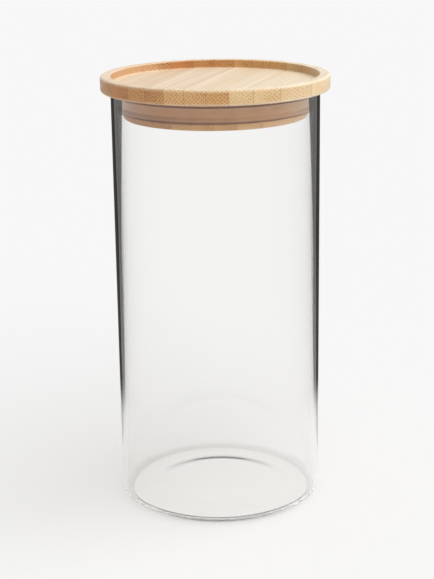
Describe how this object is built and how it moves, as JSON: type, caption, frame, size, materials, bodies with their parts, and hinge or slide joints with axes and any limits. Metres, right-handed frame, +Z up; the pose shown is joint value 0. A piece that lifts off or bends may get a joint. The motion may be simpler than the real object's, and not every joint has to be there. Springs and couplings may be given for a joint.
{
  "type": "lidded glass canister",
  "caption": "Straight round clear glass storage canister with a push-in bamboo lid, turned with a shallow tray top and a silicone seal ring on its plug.",
  "frame": {"origin": "centre of the jar's foot, on the surface that it stands on", "axes": "+Z up along the jar's axis, from foot to lid; -Y towards the viewer of the front, +X to the viewer's right"},
  "size_m": [0.1096, 0.1096, 0.212],
  "materials": {
    "glass": "clear, polished",
    "bamboo_tan": "satin oiled bamboo, tan",
    "bamboo_red": "satin oiled bamboo, reddish brown",
    "bamboo_golden": "satin oiled bamboo, golden",
    "bamboo_light": "satin oiled bamboo, pale",
    "seal": "translucent matte silicone"
  },
  "bodies": {
    "jar": {"glass_jar": "glass"},
    "lid": {"lid_strip_01": "bamboo_tan", "lid_strip_02": "bamboo_tan", "lid_strip_03": "bamboo_red", "lid_strip_04": "bamboo_tan", "lid_strip_05": "bamboo_tan", "lid_strip_06": "bamboo_golden", "lid_strip_07": "bamboo_golden", "lid_strip_08": "bamboo_golden", "lid_strip_09": "bamboo_light", "lid_strip_10": "bamboo_light", "lid_strip_11": "bamboo_light", "lid_strip_12": "bamboo_light", "seal_ring": "seal"}
  },
  "joints": [
    {"name": "lid_lift", "type": "slide", "parent": "jar", "child": "lid", "axis": [0, 0, 1], "range_m": [0, 0.025]}
  ]
}
